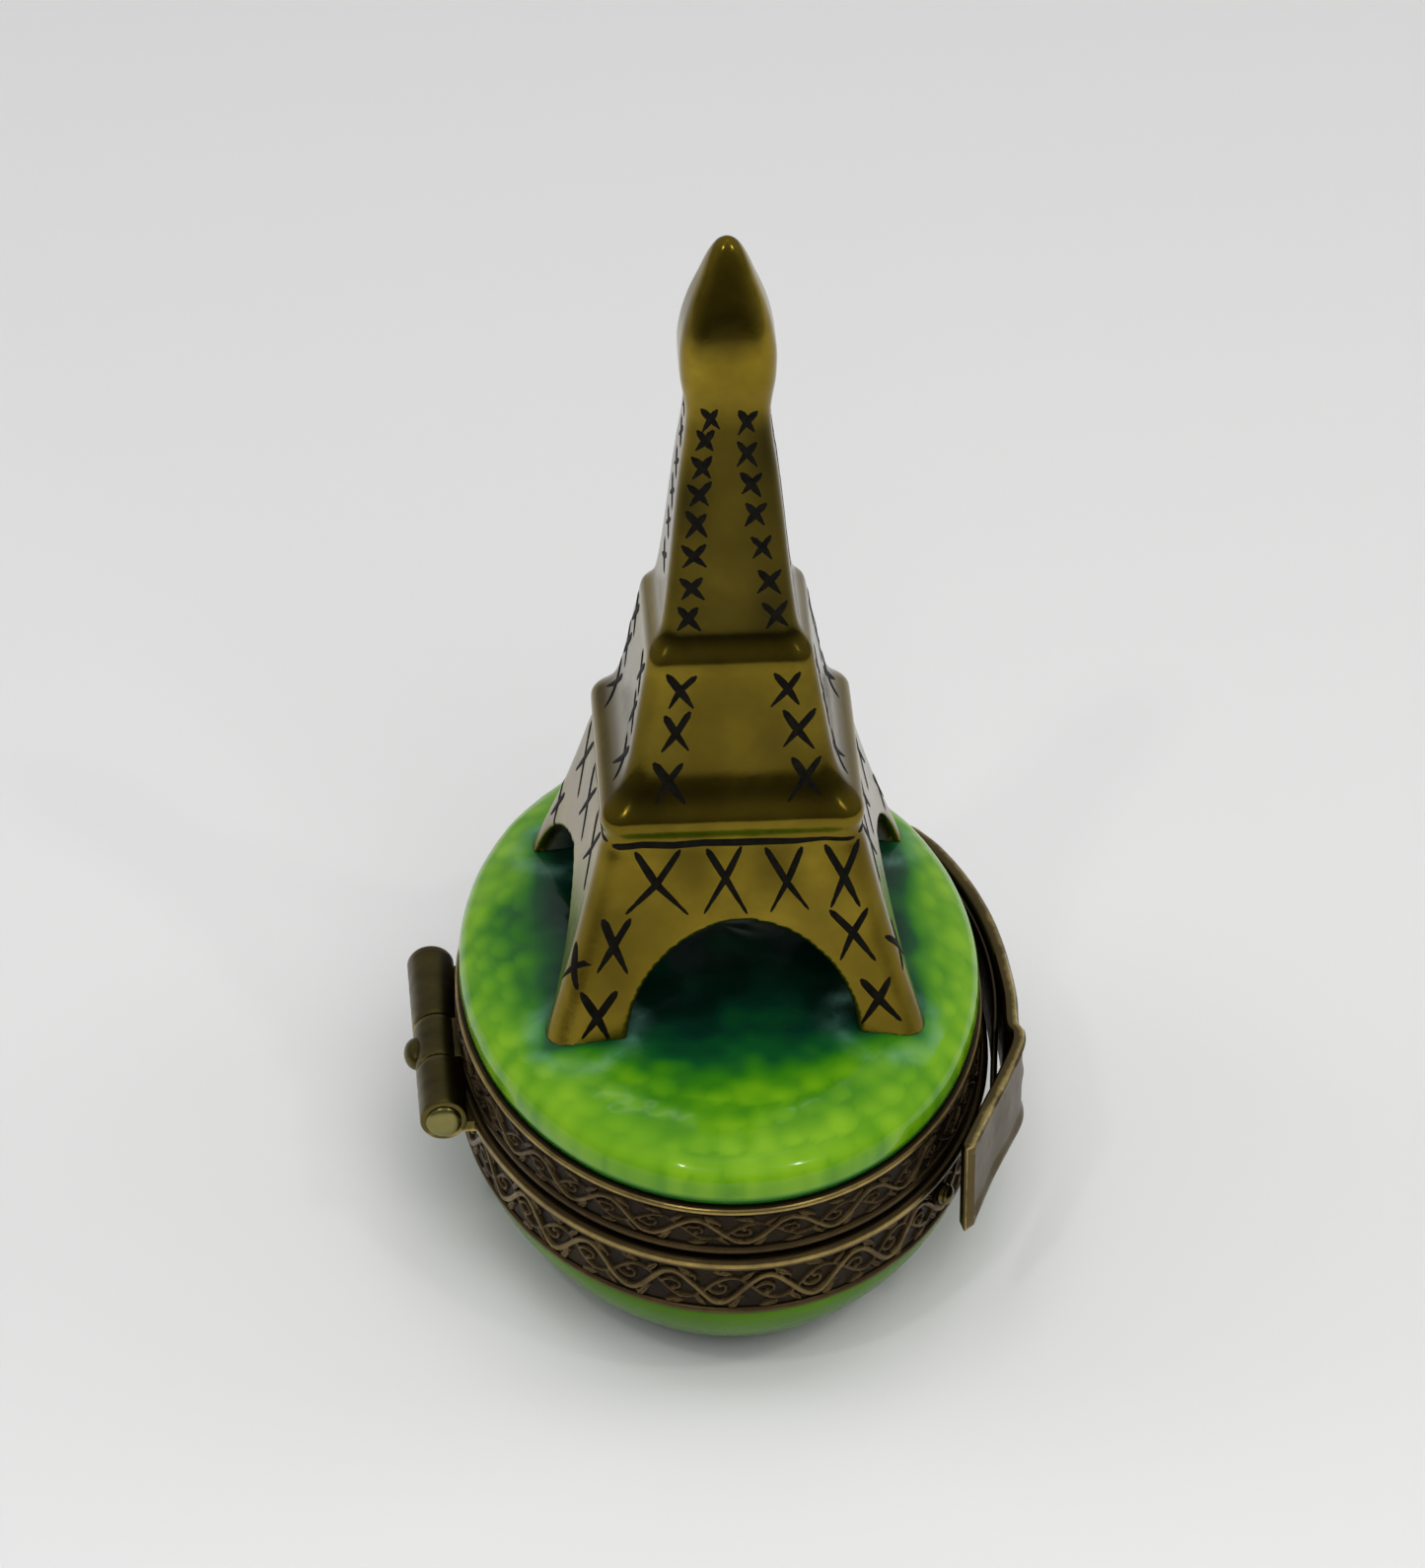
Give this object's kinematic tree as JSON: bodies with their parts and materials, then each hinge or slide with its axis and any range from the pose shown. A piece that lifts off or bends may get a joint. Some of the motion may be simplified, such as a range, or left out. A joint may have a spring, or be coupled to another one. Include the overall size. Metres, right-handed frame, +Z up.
{
  "type": "hinged trinket box",
  "caption": "Oval hinged porcelain trinket box in bronze mounts, with a gilded four-legged lattice tower on its domed lid and a sprung clasp.",
  "frame": {"origin": "middle of the flat foot that the box stands on", "axes": "+Z up along the tower, Y along the oval's long axis and the hinge pin, hinge on the -X side and clasp on the +X side"},
  "size_m": [0.0454, 0.0546, 0.0835],
  "materials": {
    "porcelain_base": "glossy painted glaze",
    "porcelain_lid": "glossy painted glaze, dark to yellow-green",
    "gold_lustre": "gold lustre over glaze with painted black crosses",
    "bronze": "antique bronze patina",
    "bronze_relief": "antique bronze patina, rubbed relief",
    "brass": "worn antique brass",
    "plaster": "matt"
  },
  "bodies": {
    "base": {"base_bowl": "porcelain_base", "lower_collar": "bronze", "lower_gallery": "bronze_relief", "base_bond_ring": "plaster", "closing_lip": "brass", "hinge_knuckle_front": "brass", "hinge_knuckle_rear": "brass", "hinge_pin": "brass", "catch_stud": "brass"},
    "lid": {"lid_dome": "porcelain_lid", "tower": "gold_lustre", "lid_bond_ring": "plaster", "upper_collar": "bronze", "upper_gallery": "bronze_relief", "hinge_knuckle_middle": "brass", "clasp_foot": "brass"},
    "clasp": {"clasp_arm": "brass", "clasp_ribbon": "brass"}
  },
  "joints": [
    {"name": "lid_hinge", "type": "hinge", "parent": "base", "child": "lid", "pos_m": [-0.02095, 0, 0.01375], "axis": [0, -1, 0], "range_deg": [0, 100]},
    {"name": "clasp_flex", "type": "hinge", "parent": "lid", "child": "clasp", "pos_m": [0.01298, 0.02107, 0.0159], "axis": [0, 0, 1], "range_deg": [0, 4], "stiffness_Nm_per_rad": 0.3}
  ]
}
